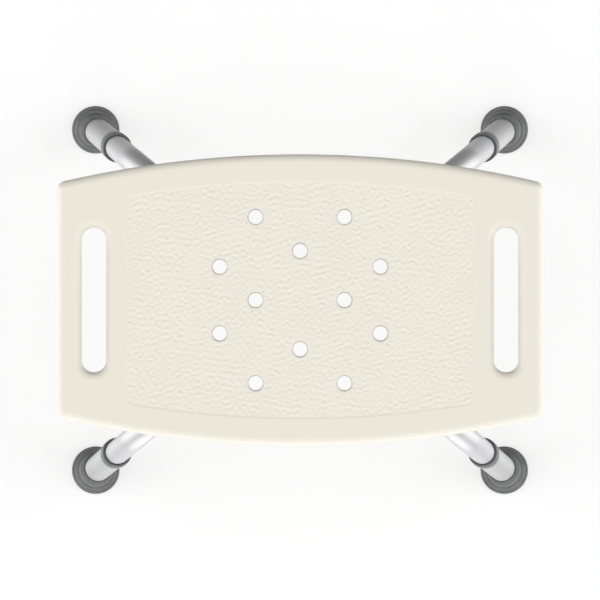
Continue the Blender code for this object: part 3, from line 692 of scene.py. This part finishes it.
def seat_shape():
    """The seat as one closed shell: its sides, its holes, the grained top and the underside."""
    middle = (SEAT_TOP + SEAT_UNDERSIDE) / 2
    dip_height, ridge_height = PARTING_HEIGHTS
    upper_side = [(-outset, height)
                  for outset, height in rim(SEAT_EDGE_FILLET, SEAT_TOP, 1, 14, SEAT_DRAFT)]
    upper_side += [(-PARTING_DIP, middle + dip_height), (PARTING_RIDGE, middle + ridge_height)]
    lower_side = [(outset, 2 * middle - height) for outset, height in reversed(upper_side)]
    shapes = [banded(seat_outline, upper_side + lower_side)]

    slots = [slot_outline(side) for side in (-1, 1)]
    upper_rim = rim(SLOT_FILLET, SEAT_TOP, 1, 12, SLOT_DRAFT)
    lower_rim = rim(SLOT_FILLET, SEAT_UNDERSIDE, -1, 12, SLOT_DRAFT)
    foot_height, ridge_height = FLASH_HEIGHTS
    flash = [(0.0, middle + foot_height), (-FLASH_RIDGE, middle + ridge_height),
             (-FLASH_RIDGE, middle - ridge_height), (0.0, middle - foot_height)]
    shapes += [banded(slot, upper_rim + flash + lower_rim[::-1]) for slot in slots]

    panel_top = SEAT_TOP - PANEL_RECESS
    step = [(PANEL_STEP * (0.5 - t), SEAT_TOP - PANEL_RECESS * t * t * (3 - 2 * t))
            for t in np.linspace(0, 1, 6)]
    shapes.append(banded(panel_outline, step))

    drains = [round_outline(centre, DRAIN_RADIUS, 36) for centre in DRAIN_CENTRES]
    drain_wall = rim(DRAIN_TOP_FILLET, panel_top, 1, 5) + [(-DRAIN_WAIST, middle)]
    drain_wall += rim(DRAIN_FILLET, SEAT_UNDERSIDE, -1, 5)[::-1]
    shapes += [banded(drain, drain_wall) for drain in drains]

    tack_top = SEAT_UNDERSIDE + TACK_DEPTH
    cone = rim(TACK_RIM, SEAT_UNDERSIDE, -1, 4)
    cone += softened([(0.0, SEAT_UNDERSIDE + TACK_RIM, 0),
                      (TACK_TIP_RADIUS - TACK_RADIUS, tack_top, TACK_TIP_ROUNDING),
                      (-TACK_RADIUS, tack_top, 0)])[1:]
    pits = [(round_outline(centre, TACK_RADIUS, 28), TACK_RIM, cone) for centre in TACK_CENTRES]
    bores = [(place_on_frame(corner), INSERT_BORE_RADIUS, INSERT_BORE_DEPTH) for corner in CORNERS]
    bores.append((VENT_CENTRE, VENT_RADIUS, VENT_DEPTH))
    for centre, radius, depth in bores:
        top = SEAT_UNDERSIDE + depth
        wall = rim(BORE_RIM, SEAT_UNDERSIDE, -1, 3) + [(-BORE_DRAFT, top), (-radius, top)]
        pits.append((round_outline(centre, radius, 28), BORE_RIM, wall))
    shapes += [banded(outline, profile) for outline, _, profile in pits]

    rim_of_flat = widened(seat_outline, -(SEAT_DRAFT + SEAT_EDGE_FILLET))
    slot_rims = [widened(slot, SLOT_FILLET + SLOT_DRAFT) for slot in slots]
    drain_rims = [widened(drain, DRAIN_FILLET) for drain in drains]
    drain_tops = [widened(drain, DRAIN_TOP_FILLET) for drain in drains]
    pit_rims = [widened(outline, rim_width) for outline, rim_width, _ in pits]
    shapes.append(filled(rim_of_flat, slot_rims + [widened(panel_outline, PANEL_STEP / 2)],
                         FLAT_GUARD, TOP_SPACING, level(SEAT_TOP)))
    shapes.append(filled(widened(panel_outline, -PANEL_STEP / 2), drain_tops,
                         0.0, GRAIN_SPACING, panel_height))
    shapes.append(filled(rim_of_flat, slot_rims + drain_rims + pit_rims,
                         FLAT_GUARD, UNDERSIDE_SPACING, level(SEAT_UNDERSIDE)))
    return gathered(shapes)


# ----- Places of the frame -----

def leg_frame(corner):
    """A leg's own axes: Z up the leg and X outwards, from where its axis meets the floor."""
    joints = frame["record"]["behaviour"]["joints"]
    joint = next(joint for joint in joints if joint["name"] == "leg_slide_" + corner)
    up = -Vector(joint["axis"]).normalized()
    low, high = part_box("leg_tube_" + corner)
    middle = (low + high) / 2
    origin = middle - up * (middle.z / up.z)
    side = up.cross(Vector((-up.x, -up.y, 0.0))).normalized()
    outward = side.cross(up)
    matrix = Matrix((outward, side, up)).transposed().to_4x4()
    return Matrix.Translation(origin) @ matrix


LEG_FRAMES = {corner: leg_frame(corner) for corner in CORNERS}
LEG_FLOOR_RADIUS = LEG_FRAMES["back_right"].translation.to_2d().length
LEG_TILT = math.acos(LEG_FRAMES["back_right"].col[2].z)
FOOT_SPINE = FOOT_BEND_HEIGHT / LEG_TILT  # radius of the bend inside a foot


def azimuth(corner):
    origin = LEG_FRAMES[corner].translation
    return math.atan2(origin.y, origin.x)


def place_on_frame(corner):
    """Where a saddle sits, on the way from the middle of the stool to a corner."""
    angle = azimuth(corner)
    return (SADDLE_RADIUS * math.cos(angle), SADDLE_RADIUS * math.sin(angle))


# ----- Tubes -----

def half_tube_path(ducks_under):
    """Half of a cross tube's axis as (x, z) points, from the middle to its end inside a leg."""
    if ducks_under:
        swing = math.degrees(math.acos(1 - JOGGLE_DROP / (2 * JOGGLE_RADIUS)))
        reach = 2 * JOGGLE_RADIUS * math.sin(math.radians(swing))
        path = arc((JOGGLE_FLAT, JOGGLE_HEIGHT + JOGGLE_RADIUS), JOGGLE_RADIUS,
                   -90, -90 + swing, 12)
        path += arc((JOGGLE_FLAT + reach, FRAME_HEIGHT - JOGGLE_RADIUS), JOGGLE_RADIUS,
                    90 + swing, 90, 12)[1:]
    else:
        path = [(0.004, FRAME_HEIGHT)]
    corner_x = LEG_FLOOR_RADIUS - FRAME_HEIGHT * math.tan(LEG_TILT)
    setback = BEND_RADIUS * math.tan((math.pi / 2 - LEG_TILT) / 2)
    path += arc((corner_x - setback, FRAME_HEIGHT - BEND_RADIUS), BEND_RADIUS,
                90, math.degrees(LEG_TILT), 24)
    start_x, start_z = path[-1]
    end_x = LEG_FLOOR_RADIUS - FRAME_TUBE_START * math.sin(LEG_TILT)
    end_z = FRAME_TUBE_START * math.cos(LEG_TILT)
    path += [(start_x + (end_x - start_x) * t, start_z + (end_z - start_z) * t)
             for t in np.linspace(0, 1, 9)[1:]]
    return path


def swept_tube(path, radius, wall, sides):
    """A hollow tube along a path in the XZ plane, with each point's place round and along it."""
    path = np.array(path)
    tangent = np.gradient(path, axis=0)
    tangent /= np.linalg.norm(tangent, axis=1)[:, None]
    travelled = np.concatenate([[0], np.cumsum(np.linalg.norm(np.diff(path, axis=0), axis=1))])
    rings, grain = [], []
    order = range(len(path))
    stations = [(i, radius) for i in order] + [(i, radius - wall) for i in reversed(order)]
    for i, r in stations + stations[:1]:
        (x, z), (tx, tz) = path[i], tangent[i]
        ring = []
        for a in np.arange(sides) * math.tau / sides:
            across, lift = r * math.cos(a), r * math.sin(a)
            ring.append((x - tz * lift, across, z + tx * lift))
            grain.append((across, lift, travelled[i]))
        rings.append(ring)
    return loft(rings), grain


def frame_tube_mesh(tier):
    half = half_tube_path(ducks_under=tier == "lower")
    path = [(-x, z) for x, z in reversed(half)] + half
    shape, grain = swept_tube(path, TUBE_RADIUS, TUBE_WALL, 48)
    return solid_mesh("frame_tube_" + tier, shape, grain=grain)


def leg_tube_mesh():
    """A leg tube with slightly rounded ends and its row of button holes."""
    inner = LEG_TUBE_RADIUS - LEG_TUBE_WALL
    ease, plain_end, spacing = 0.0003, 0.004, 0.0035
    spans = list(np.arange(LEG_TUBE_START + plain_end, LEG_TUBE_TOP - plain_end, spacing))
    profile = [(LEG_TUBE_RADIUS - ease, LEG_TUBE_START), (LEG_TUBE_RADIUS, LEG_TUBE_START + ease)]
    profile += [(LEG_TUBE_RADIUS, z) for z in spans]
    profile += [(LEG_TUBE_RADIUS, LEG_TUBE_TOP - ease), (LEG_TUBE_RADIUS - ease, LEG_TUBE_TOP),
                (inner + ease, LEG_TUBE_TOP), (inner, LEG_TUBE_TOP - ease)]
    profile += [(inner, z) for z in reversed(spans)]
    profile += [(inner, LEG_TUBE_START + ease), (inner + ease, LEG_TUBE_START)]
    tube = solid_mesh("leg_tube", turned(profile + profile[:1], 64))
    drill_start, drill_end = LEG_TUBE_RADIUS * 0.7, LEG_TUBE_RADIUS * 1.3
    points, faces = turned([(0.0, drill_start), (LEG_HOLE_RADIUS, drill_start),
                            (LEG_HOLE_RADIUS, drill_end), (0.0, drill_end)], 32)
    holes = []
    for number in range(LEG_HOLE_COUNT):
        height = LEG_HOLE_START + number * LEG_HOLE_PITCH
        holes.append(([(-z, y, x + height) for x, y, z in points], faces))
    mesh = drilled(tube, gathered(holes))
    set_grain(mesh)
    return mesh


# ----- Leg fittings -----

def collar_mesh():
    """A moulded ring with a slight taper, a rounded shoulder and a guide lip."""
    seat = LEG_TUBE_TOP + CLEARANCE
    top = seat + COLLAR_LIP
    bottom = top - COLLAR_LENGTH
    inner = LEG_TUBE_RADIUS + CLEARANCE
    lip = (GUIDE_RADIUS, top - 0.0011, 0)
    corners = [lip, (GUIDE_RADIUS + 0.0005, top - 0.0002, 0.0003),
               (GUIDE_RADIUS + 0.0009, top, 0.0003), (COLLAR_RADIUS - 0.0001, top, 0.0008),
               (COLLAR_RADIUS, top - 0.0050, 0.0004), (COLLAR_RADIUS, bottom, 0.0006),
               (inner, bottom, 0.0003), (inner, seat, 0.0002), (GUIDE_RADIUS, seat, 0.0002), lip]
    return solid_mesh("collar", turned(softened(corners), 64))


def leaned(point):
    """Bends an upright foot over, so that its neck lines up with the leg."""
    x, y, z = point
    height = max(0.0, min(z, FOOT_BEND_HEIGHT))
    angle = LEG_TILT * height / FOOT_BEND_HEIGHT
    above = z - height
    return (-FOOT_SPINE * (1 - math.cos(angle)) - math.sin(angle) * above + math.cos(angle) * x,
            y,
            FOOT_SPINE * math.sin(angle) + math.cos(angle) * above + math.sin(angle) * x)


def foot_matrix(corner):
    """The foot's own upright axes, from the middle of its base."""
    offset = FOOT_SPINE * (math.sin(LEG_TILT) * math.tan(LEG_TILT) - (1 - math.cos(LEG_TILT)))
    upright = LEG_FRAMES[corner] @ Matrix.Rotation(LEG_TILT, 4, "Y")
    return upright @ Matrix.Translation((-offset, 0, 0))


def foot_mesh():
    """A rubber foot: lipped neck, rounded shoulder, flared skirt and a ringed tread."""
    bore = LEG_TUBE_RADIUS + CLEARANCE
    outside = [(0.0, FOOT_BORE_FLOOR, 0), (bore, FOOT_BORE_FLOOR, 0.0004),
               (bore, FOOT_HEIGHT - 0.0002, 0.0004), (bore + 0.0006, FOOT_HEIGHT, 0.0003),
               (FOOT_NECK_RADIUS, FOOT_HEIGHT, 0.0007), (FOOT_NECK_RADIUS, 0.0302, 0.0005),
               (0.0158, 0.0296, 0.0004), (0.0160, 0.0272, 0.0008), (0.0180, 0.0258, 0.0010),
               (0.0190, 0.0138, 0.0012), (0.0194, 0.0126, 0.0004), (0.0212, 0.0122, 0.0007),
               (0.0218, 0.0106, 0.0007), (0.0236, 0.0086, 0.0006), (0.0254, 0.0082, 0.0010),
               (FOOT_RADIUS, 0.0058, 0.0014), (FOOT_RADIUS, 0.0012, 0.0005),
               (FOOT_RADIUS - 0.0012, 0.0, 0.0004)]
    rounding = 0.0003
    tread = []
    for outer, inner in ((0.0232, 0.0212), (0.0180, 0.0135), (0.0110, 0.0072), (0.0048, 0.0)):
        tread += [(outer, 0.0, rounding), (outer - TREAD_DRAFT, TREAD_DEPTH, rounding)]
        if inner:
            tread += [(inner + TREAD_DRAFT, TREAD_DEPTH, rounding), (inner, 0.0, rounding)]
    tread.append((0.0, TREAD_DEPTH, 0))
    points, faces = turned(softened(outside + tread), 72)
    return solid_mesh("foot", ([leaned(point) for point in points], faces))


def button_mesh():
    """A snap button: flange inside the tube, waist and domed head."""
    dome_start = BUTTON_TIP - BUTTON_DOME
    corners = [(0.0, BUTTON_BASE, 0), (FLANGE_RADIUS, BUTTON_BASE, 0.0003),
               (FLANGE_RADIUS, FLANGE_TOP, 0.0003), (BUTTON_RADIUS, FLANGE_TOP, 0.0002),
               (BUTTON_RADIUS, dome_start, 0)]
    head = [(BUTTON_RADIUS * math.cos(a), dome_start + BUTTON_DOME * math.sin(a))
            for a in np.linspace(0, math.pi / 2, 9)[1:]]
    profile = softened(corners) + head
    return solid_mesh("button", turned(profile, 40))


def spring_mesh():
    """A folded strip of spring steel, with one leaf under the button and one on the far wall."""
    line = [(SPRING_NEAR, height) for height in (-0.0070, -0.0035, 0.0, 0.0035, 0.0080)]
    line += arc((0.0, SPRING_TOP - SPRING_FOLD_RADIUS), SPRING_FOLD_RADIUS, 180, 0, 10)
    line += [(SPRING_FAR, height) for height in (0.0120, 0.0040)]
    way = np.gradient(np.array(line), axis=0)
    normals = np.column_stack([-way[:, 1], way[:, 0]]) / np.hypot(*way.T)[:, None]
    rings = []
    for (x, z), (out_x, out_z) in zip(line, normals * SPRING_THICKNESS / 2):
        rings.append([(x + sign * out_x, y, z + sign * out_z)
                      for sign, y in ((-1, -SPRING_WIDTH / 2), (-1, SPRING_WIDTH / 2),
                                      (1, SPRING_WIDTH / 2), (1, -SPRING_WIDTH / 2))])
    ends = [(ring, [(0, 1, 2, 3)]) for ring in (rings[0], rings[-1])]
    return solid_mesh("spring", gathered([loft(rings)] + ends))


# ----- Saddles and fasteners -----

def saddle_mesh():
    """A moulded cradle: flat on top, bedded on the tube, with soft edges."""
    high = SEAT_UNDERSIDE - CLEARANCE
    half = SADDLE_WIDTH / 2
    opening = math.degrees(math.acos(half / GUIDE_RADIUS))
    flank = FRAME_HEIGHT + GUIDE_RADIUS * math.sin(math.radians(opening)) + SADDLE_FLANK
    section = arc((0.0, FRAME_HEIGHT), GUIDE_RADIUS, opening, 180 - opening, 24)
    section += [(-half, flank), (-half, high), (half, high), (half, flank)]
    block = bmesh.new()
    near, far = ([block.verts.new((x, y, z)) for y, z in section]
                 for x in (-SADDLE_LENGTH / 2, SADDLE_LENGTH / 2))
    count = len(section)
    for i in range(count):
        j = (i + 1) % count
        block.faces.new((near[i], near[j], far[j], far[i]))
    for ring in (near, far):
        block.faces.new(ring)
    bmesh.ops.recalc_face_normals(block, faces=block.faces)
    sharp = [edge for edge in block.edges if edge.calc_face_angle(0) > math.radians(50)]
    bmesh.ops.bevel(block, geom=sharp, offset=SADDLE_ROUNDING, segments=3, profile=0.5,
                    affect="EDGES", clamp_overlap=True)
    mesh = bpy.data.meshes.new("saddle")
    block.to_mesh(mesh)
    block.free()
    mesh.shade_smooth()
    mesh.set_sharp_from_angle(angle=math.radians(35))
    return mesh


def thread(radius, depth, heights, pitch):
    """A profile of thread rings, from each of the heights on by half a pitch."""
    profile = []
    for z in heights:
        profile += [(radius, z), (radius - depth, z + pitch / 2)]
    return profile


def screw_mesh():
    """A pan-head screw with a cross recess, threaded where it enters its insert."""
    head_top = FRAME_HEIGHT - TUBE_RADIUS - CLEARANCE
    crown = head_top - SCREW_HEAD_HEIGHT
    tip = SEAT_UNDERSIDE + SCREW_REACH
    corners = [(0.0, crown, 0), (SCREW_HEAD_RADIUS * 0.72, crown, 0.0022),
               (SCREW_HEAD_RADIUS, head_top - SCREW_HEAD_HEIGHT * 0.35, 0.0008),
               (SCREW_HEAD_RADIUS, head_top, 0.0003), (SCREW_RADIUS, head_top, 0)]
    heights = np.arange(SEAT_UNDERSIDE - 0.004, tip - 0.002, SCREW_PITCH)
    profile = softened(corners) + thread(SCREW_RADIUS, SCREW_THREAD, heights, SCREW_PITCH)
    profile += [(SCREW_RADIUS, tip - 0.0015), (SCREW_RADIUS * 0.6, tip), (0.0, tip)]
    mesh = solid_mesh("screw", turned(profile, 40))
    faces = [(0, 1, 5, 4), (1, 2, 6, 5), (2, 3, 7, 6), (3, 0, 4, 7), (0, 3, 2, 1), (4, 5, 6, 7)]
    for turn in (0.0, math.pi / 2):
        box = [(sx * RECESS_HALF_LENGTH * share, sy * RECESS_HALF_WIDTH, z)
               for share, z in ((1.0, crown - 0.001), (0.5, crown + RECESS_DEPTH))
               for sx, sy in ((-1, -1), (1, -1), (1, 1), (-1, 1))]
        points = [tuple(Matrix.Rotation(turn, 3, "Z") @ Vector(point)) for point in box]
        mesh = drilled(mesh, (points, faces))
    return mesh


def nut_shape(bottom, top):
    """A hexagonal nut, chamfered above and below."""
    angles = np.arange(48) * math.tau / 48
    apothem = NUT_ACROSS_CORNERS / 2 * math.cos(math.pi / 6)
    flats = apothem / np.cos((angles + math.pi / 6) % (math.pi / 3) - math.pi / 6)
    crown = np.minimum(flats, apothem * NUT_CROWN)
    chamfer = (flats - crown) * math.tan(math.radians(NUT_CHAMFER))
    bore = np.full_like(angles, BOLT_RADIUS + CLEARANCE)
    levels = [(bore, top), (crown, top), (flats, top - chamfer), (flats, bottom + chamfer),
              (crown, bottom), (bore, bottom), (bore, top)]
    return loft([list(zip(radii * np.cos(angles), radii * np.sin(angles),
                          np.broadcast_to(heights, angles.shape)))
                 for radii, heights in levels])


def build_centre_fastener():
    """The bolt, washer and nut where the cross tubes meet."""
    head_low = FRAME_HEIGHT + TUBE_RADIUS + CLEARANCE
    washer_top = JOGGLE_HEIGHT - TUBE_RADIUS - CLEARANCE
    washer_low = washer_top - WASHER_THICKNESS
    nut_top = washer_low - CLEARANCE
    bolt_end = nut_top - NUT_HEIGHT - BOLT_END

    profile = [(BOLT_HEAD_RADIUS * math.cos(a), head_low + BOLT_HEAD_HEIGHT * math.sin(a))
               for a in np.linspace(math.pi / 2, 0, 10)]
    profile += [(BOLT_HEAD_RADIUS - 0.0003, head_low), (BOLT_RADIUS, head_low)]
    heights = np.arange(nut_top + 0.004, bolt_end + 0.0012, -BOLT_PITCH)
    profile += thread(BOLT_RADIUS, BOLT_THREAD, heights, -BOLT_PITCH)
    profile += [(BOLT_RADIUS - 0.0001, bolt_end + 0.0008), (BOLT_RADIUS - 0.0008, bolt_end),
                (0.0, bolt_end)]
    fit("frame", "centre_bolt", "centre_carriage_bolt",
        solid_mesh("bolt", turned(profile, 40)), STEEL)

    hole = BOLT_RADIUS + CLEARANCE
    seam = (hole, (washer_low + washer_top) / 2, 0)
    ring = softened([seam, (hole, washer_top, 0.0003), (WASHER_RADIUS, washer_top, 0.0004),
                     (WASHER_RADIUS, washer_low, 0.0004), (hole, washer_low, 0.0003), seam])
    fit("frame", "centre_washer", "centre_plain_washer",
        solid_mesh("washer", turned(ring, 48)), STEEL)
    fit("frame", "centre_nut", "centre_hex_nut",
        solid_mesh("nut", nut_shape(nut_top - NUT_HEIGHT, nut_top), sharp_angle=25), STEEL)


# ----- Putting it together -----

def build_frame():
    shell = solid_mesh("seat_shell", seat_shape(), sharp_angle=50)
    store_grain(shell)
    fit("frame", "seat", "seat_shell", shell, SEAT_PLASTIC)
    for tier, corner in TUBE_ROOT.items():
        fit("frame", "cross_tube_" + tier, "frame_tube_" + tier,
            frame_tube_mesh(tier), FRAME_ALUMINIUM, Matrix.Rotation(azimuth(corner), 4, "Z"))
    build_centre_fastener()
    saddle, screw = saddle_mesh(), screw_mesh()
    for corner in CORNERS:
        on_tube = (Matrix.Translation((*place_on_frame(corner), 0))
                   @ Matrix.Rotation(azimuth(corner), 4, "Z"))
        fit("frame", "saddle_" + corner, "saddle_pad_" + corner,
            saddle.copy(), GREY_PLASTIC, on_tube)
        fit("frame", "seat_screw_" + corner, "saddle_screw_" + corner,
            screw.copy(), STEEL, on_tube)


def build_legs():
    tube, collar, foot = leg_tube_mesh(), collar_mesh(), foot_mesh()
    button, spring = button_mesh(), spring_mesh()
    for corner in CORNERS:
        body = "leg_" + corner
        fit(body, "leg_tube_" + corner, body + "_outer_tube",
            tube.copy(), LEG_ALUMINIUM, LEG_FRAMES[corner])
        fit(body, "leg_collar_" + corner, body + "_ring",
            collar.copy(), GREY_PLASTIC, LEG_FRAMES[corner])
        fit(body, "foot_" + corner, body + "_rubber_foot",
            foot.copy(), RUBBER, foot_matrix(corner))
        at_button = LEG_FRAMES[corner] @ Matrix.Translation((0, 0, LEG_HOLE_START))
        fit("button_" + corner, "snap_button_" + corner, body + "_button",
            button.copy(), STEEL, at_button @ Matrix.Rotation(-math.pi / 2, 4, "Y"))
        piece = place("button_spring_strip_" + corner, spring.copy(), STEEL, at_button)
        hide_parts("button_spring_" + corner)
        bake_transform(piece)


def finish_hidden_nodes():
    """The CAD pieces that stay as they are get the finished materials."""
    for corner in CORNERS:
        for node, material in (("seat_insert_", BRASS), ("tube_plug_", GREY_PLASTIC),
                               ("foot_washer_", STEEL)):
            item = frame["nodes"][node + corner]
            for material_slot in item.material_slots:
                material_slot.material = material


# ----- Floor, lights and camera -----

CAMERA_HEIGHT = 4.605
CAMERA_LENS = 248.2
FLOOR_HALF_SIZE = 25.0
SKY_TOP = 1.06  # glow of the dome, overhead and below
SKY_TILT = 0.17  # how much brighter it is overhead, and darker below
SKY_FADE = (0.24, 1.25)  # where the dome fades out behind, as the Y of the direction
FRONT_LAMP = 4.1  # glow of the wide soft lamp in front, if all of it were seen
FRONT_LAMP_RISE = -0.20  # how far it leans above the horizon, or below if negative
FRONT_LAMP_EDGE = (0.58, 1.30)  # where it fades in, towards its middle
SIDE_LAMP = 2.45  # glow of the tall soft lamps at the left and right
SIDE_LAMP_RISE = 0.07
SIDE_LAMP_DEPTH = -0.57  # how fast it fades towards the front and back
SIDE_LAMP_EDGE = (0.19, 0.96)
FLOOR_COLOUR = 0.38
FLOOR_GLOW = 0.57
BACKDROP = 0.90


def build_sky():
    """Soft light from overhead and from lamps in front and at both sides, with a plain backdrop."""
    world = bpy.data.worlds.new("studio")
    world.use_nodes = True
    tree = world.node_tree
    direction = add_node(tree, "TexCoord", "Generated", {})
    x, y, z = add_node(tree, "SeparateXYZ", 0, {"Vector": direction}).node.outputs

    def step(*values):
        """Smooth change of a value between two limits, from one glow to another."""
        return add_node(tree, "MapRange", "Result", dict(enumerate(values)),
                        interpolation_type="SMOOTHSTEP")

    def combined(operation, *values):
        return add_node(tree, "Math", "Value", dict(enumerate(values)), operation=operation)

    def weighed(*terms):
        """The terms, each a value and its weight, added up."""
        total = 0.0
        for value, weight in terms:
            total = combined("MULTIPLY_ADD", value, weight, total)
        return total

    dome = combined("MULTIPLY", z, weighed((z, SKY_TOP), (1.0, SKY_TILT)))
    dome = combined("MULTIPLY", dome, step(y, *SKY_FADE, 1.0, 0.0))
    front = step(weighed((y, -1.0), (z, FRONT_LAMP_RISE)), *FRONT_LAMP_EDGE, 0.0, FRONT_LAMP)
    sides = weighed((combined("ABSOLUTE", x), 1.0), (combined("ABSOLUTE", y), SIDE_LAMP_DEPTH),
                    (z, SIDE_LAMP_RISE))
    sides = step(sides, *SIDE_LAMP_EDGE, 0.0, SIDE_LAMP)
    total = combined("MAXIMUM", weighed((dome, 1.0), (front, 1.0), (sides, 1.0)), 0.0)
    glow = tree.nodes["Background"]
    glow.inputs["Color"].default_value = (1, 1, 1, 1)
    tree.links.new(total, glow.inputs["Strength"])

    plain = add_node(tree, "Background", 0, {"Color": (1, 1, 1, 1), "Strength": BACKDROP})
    seen = add_node(tree, "LightPath", "Is Camera Ray", {})
    mix = add_node(tree, "MixShader", 0, {"Fac": seen, 1: glow.outputs["Background"], 2: plain})
    tree.links.new(mix, tree.nodes["World Output"].inputs["Surface"])
    bpy.context.scene.world = world


def build_stage():
    """The floor, the light and the camera above the middle of the seat."""
    half = FLOOR_HALF_SIZE
    mesh = bpy.data.meshes.new("floor")
    mesh.from_pydata([(-half, -half, 0), (half, -half, 0), (half, half, 0), (-half, half, 0)], [],
                     [(0, 1, 2, 3)])
    finish = Finish("pale floor")
    finish.colour((FLOOR_COLOUR,) * 3, (FLOOR_COLOUR + 0.01,) * 3, finish.noise(0.5))
    finish.shader.inputs["Emission Color"].default_value = (1, 1, 1, 1)
    finish.shader.inputs["Emission Strength"].default_value = FLOOR_GLOW
    finish.shader.inputs["Specular IOR Level"].default_value = 0.1
    finish.shader.inputs["Roughness"].default_value = 0.9
    floor = place("floor", mesh, finish.material)
    floor.visible_diffuse = False  # the lamps light the stool from below too
    floor.visible_glossy = False
    floor.visible_shadow = False

    build_sky()
    bpy.context.scene.view_settings.view_transform = "Standard"

    camera = bpy.data.cameras.new("camera")
    camera.lens = CAMERA_LENS
    camera.sensor_width = 36
    camera.clip_end = 100
    viewer = linked("camera", camera)
    viewer.location = (0, 0, CAMERA_HEIGHT)
    bpy.context.scene.camera = viewer


build_frame()
build_legs()
finish_hidden_nodes()
build_stage()
